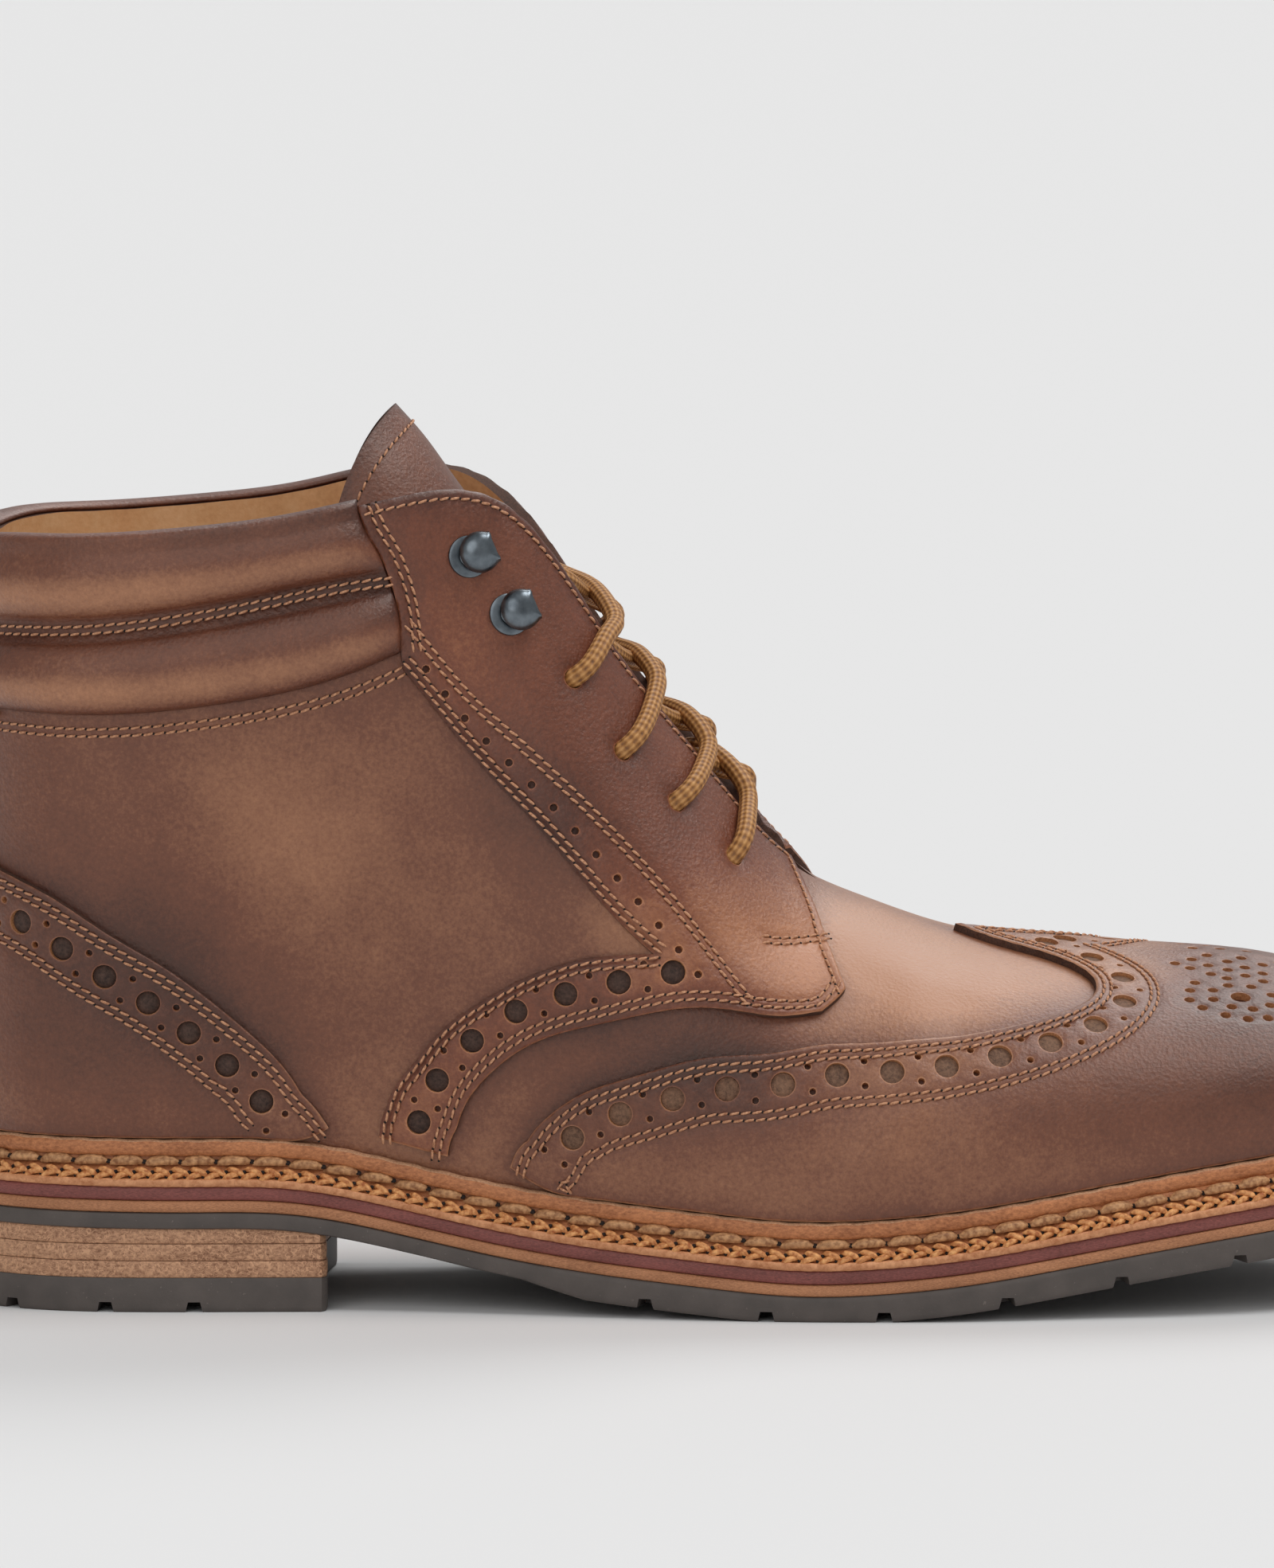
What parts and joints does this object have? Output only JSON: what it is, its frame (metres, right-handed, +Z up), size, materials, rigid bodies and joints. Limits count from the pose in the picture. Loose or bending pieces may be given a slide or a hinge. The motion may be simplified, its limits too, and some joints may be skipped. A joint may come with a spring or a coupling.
{
  "type": "brogue ankle boot",
  "caption": "Right wingtip brogue ankle boot with laced facings, speed hooks, padded collar, storm welt, stacked leather heel and cleated rubber sole.",
  "frame": {"origin": "on the floor under the middle of the heel", "axes": "+X towards the toe, +Z up, -Y towards the outer (lateral) side"},
  "size_m": [0.3115, 0.1059, 0.1768],
  "materials": {
    "upper_leather": "burnished pull-up leather, satin",
    "strap_leather": "burnished dark leather, satin",
    "lining": "tan vegetable-tanned lining, matt",
    "welt_leather": "natural welt leather, waxed edge",
    "midsole_red": "red-brown stained edge",
    "midsole_natural": "natural leather edge",
    "heel_stack": "stacked leather, sanded and waxed edge",
    "sole_rubber": "matt moulded rubber",
    "lace": "round braided cord",
    "hook_metal": "gunmetal, satin"
  },
  "bodies": {
    "root": {"outsole": "sole_rubber", "heel_top_piece": "sole_rubber", "midsole_natural": "midsole_natural", "midsole_red": "midsole_red", "welt": "welt_leather", "heel_lift_1": "heel_stack", "heel_lift_2": "heel_stack", "heel_lift_3": "heel_stack", "insole": "lining", "upper": "upper_leather", "tongue": "upper_leather", "wing_cap": "upper_leather", "counter": "upper_leather", "back_strap": "strap_leather", "collar": "upper_leather", "facing_lateral": "upper_leather", "facing_medial": "upper_leather", "hook_lateral_1": "hook_metal", "hook_lateral_2": "hook_metal", "hook_medial_1": "hook_metal", "hook_medial_2": "hook_metal", "lace_crossing_1": "lace", "lace_crossing_2": "lace", "lace_crossing_3": "lace", "lace_crossing_4": "lace"}
  },
  "joints": []
}
